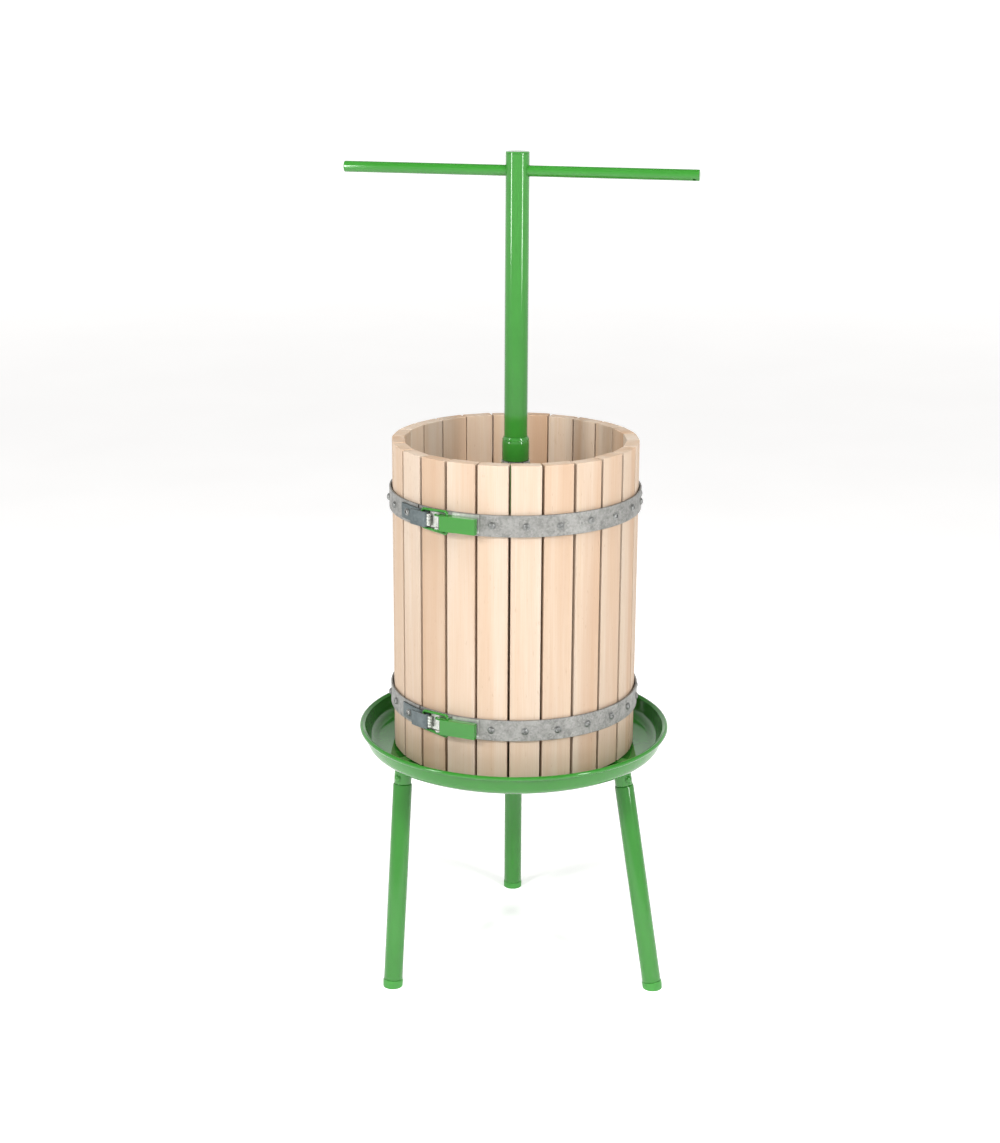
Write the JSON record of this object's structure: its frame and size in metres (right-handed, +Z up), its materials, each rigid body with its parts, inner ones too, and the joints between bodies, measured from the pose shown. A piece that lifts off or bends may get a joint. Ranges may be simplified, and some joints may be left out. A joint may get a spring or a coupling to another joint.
{
  "type": "basket wine press",
  "caption": "Hand screw press: a slatted wooden basket with two clasped hoops in a round steel pan on three legs, pressed by a central column with a cross handle.",
  "frame": {"origin": "on the floor, under the spindle, midway between the ends of the handle bar", "axes": "+Z up along the spindle; -Y is the front, seen in the usual view; +X is to the right, close to the handle bar's direction"},
  "size_m": [0.4427, 0.4218, 1.084],
  "materials": {
    "green_paint": "gloss green enamel, slightly orange-peeled",
    "slat_wood": "planed pale beech, unfinished",
    "plate_wood": "planed beech",
    "galvanised": "hot-dip galvanised strip with a faint spangle",
    "zinc_plate": "zinc-plated pressed steel",
    "bare_steel": "turned steel, lightly oiled",
    "cap_plastic": "moulded green plastic"
  },
  "bodies": {
    "stand": {"pan": "green_paint", "outlet_pipe": "green_paint", "leg_socket_left": "green_paint", "leg_socket_right": "green_paint", "leg_socket_rear": "green_paint", "leg_left": "green_paint", "leg_right": "green_paint", "leg_rear": "green_paint", "leg_cap_left": "cap_plastic", "leg_cap_right": "cap_plastic", "leg_cap_rear": "cap_plastic", "spindle": "bare_steel", "spindle_flange": "bare_steel", "spindle_nut": "zinc_plate"},
    "basket": {"slat_01": "slat_wood", "slat_02": "slat_wood", "slat_03": "slat_wood", "slat_04": "slat_wood", "slat_05": "slat_wood", "slat_06": "slat_wood", "slat_07": "slat_wood", "slat_08": "slat_wood", "slat_09": "slat_wood", "slat_10": "slat_wood", "slat_11": "slat_wood", "slat_12": "slat_wood", "slat_13": "slat_wood", "slat_14": "slat_wood", "slat_15": "slat_wood", "slat_16": "slat_wood", "slat_17": "slat_wood", "slat_18": "slat_wood", "slat_19": "slat_wood", "slat_20": "slat_wood", "slat_21": "slat_wood", "slat_22": "slat_wood", "slat_23": "slat_wood", "slat_24": "slat_wood", "hoop_upper_left": "galvanised", "hoop_upper_right": "galvanised", "hoop_lower_left": "galvanised", "hoop_lower_right": "galvanised", "hinge_pin_upper": "bare_steel", "hinge_pin_lower": "bare_steel", "clasp_hook_upper": "zinc_plate", "clasp_hook_lower": "zinc_plate", "clasp_bracket_upper": "zinc_plate", "clasp_bracket_lower": "zinc_plate"},
    "upper_clasp_lever": {"clasp_lever_upper": "green_paint"},
    "upper_clasp_bail": {"clasp_bail_upper": "green_paint"},
    "lower_clasp_lever": {"clasp_lever_lower": "green_paint"},
    "lower_clasp_bail": {"clasp_bail_lower": "green_paint"},
    "press_plate": {"press_plate_front": "plate_wood", "press_plate_rear": "plate_wood", "pressure_hub": "green_paint", "thrust_washer": "zinc_plate"},
    "press_screw": {"press_tube": "green_paint", "press_nut": "green_paint", "tube_cap": "green_paint"},
    "handle_bar": {"handle_bar": "green_paint"}
  },
  "joints": [
    {"name": "press_travel", "type": "slide", "parent": "stand", "child": "press_plate", "axis": [0, 0, -1], "range_m": [-0.0241, 0.2686]},
    {"name": "screw_turn", "type": "hinge", "parent": "press_plate", "child": "press_screw", "pos_m": [0, 0, 0.7], "axis": [0, 0, -1], "range_deg": [-1440, 16110]},
    {"name": "handle_slide", "type": "slide", "parent": "press_screw", "child": "handle_bar", "axis": [0.9781, -0.2079, 0], "range_m": [-0.2, 0.2]},
    {"name": "basket_lift", "type": "slide", "parent": "stand", "child": "basket", "axis": [0, 0, 1], "range_m": [0, 0.05]},
    {"name": "upper_clasp_lever", "type": "hinge", "parent": "basket", "child": "upper_clasp_lever", "pos_m": [-0.09466, -0.14301, 0.6469], "axis": [0, 0, -1], "range_deg": [0, 100]},
    {"name": "upper_clasp_bail", "type": "hinge", "parent": "upper_clasp_lever", "child": "upper_clasp_bail", "pos_m": [-0.08364, -0.14778, 0.6469], "axis": [0, 0, -1], "range_deg": [-79, 0.5]},
    {"name": "lower_clasp_lever", "type": "hinge", "parent": "basket", "child": "lower_clasp_lever", "pos_m": [-0.09466, -0.14301, 0.3809], "axis": [0, 0, -1], "range_deg": [0, 100]},
    {"name": "lower_clasp_bail", "type": "hinge", "parent": "lower_clasp_lever", "child": "lower_clasp_bail", "pos_m": [-0.08364, -0.14778, 0.3809], "axis": [0, 0, -1], "range_deg": [-79, 0.5]}
  ],
  "couplings": [
    {"joint": "press_travel", "follows": "screw_turn", "m_per_rad": 0.00095493},
    {"joint": "upper_clasp_bail", "follows": "upper_clasp_lever", "ratio": -0.78},
    {"joint": "lower_clasp_bail", "follows": "lower_clasp_lever", "ratio": -0.78}
  ]
}
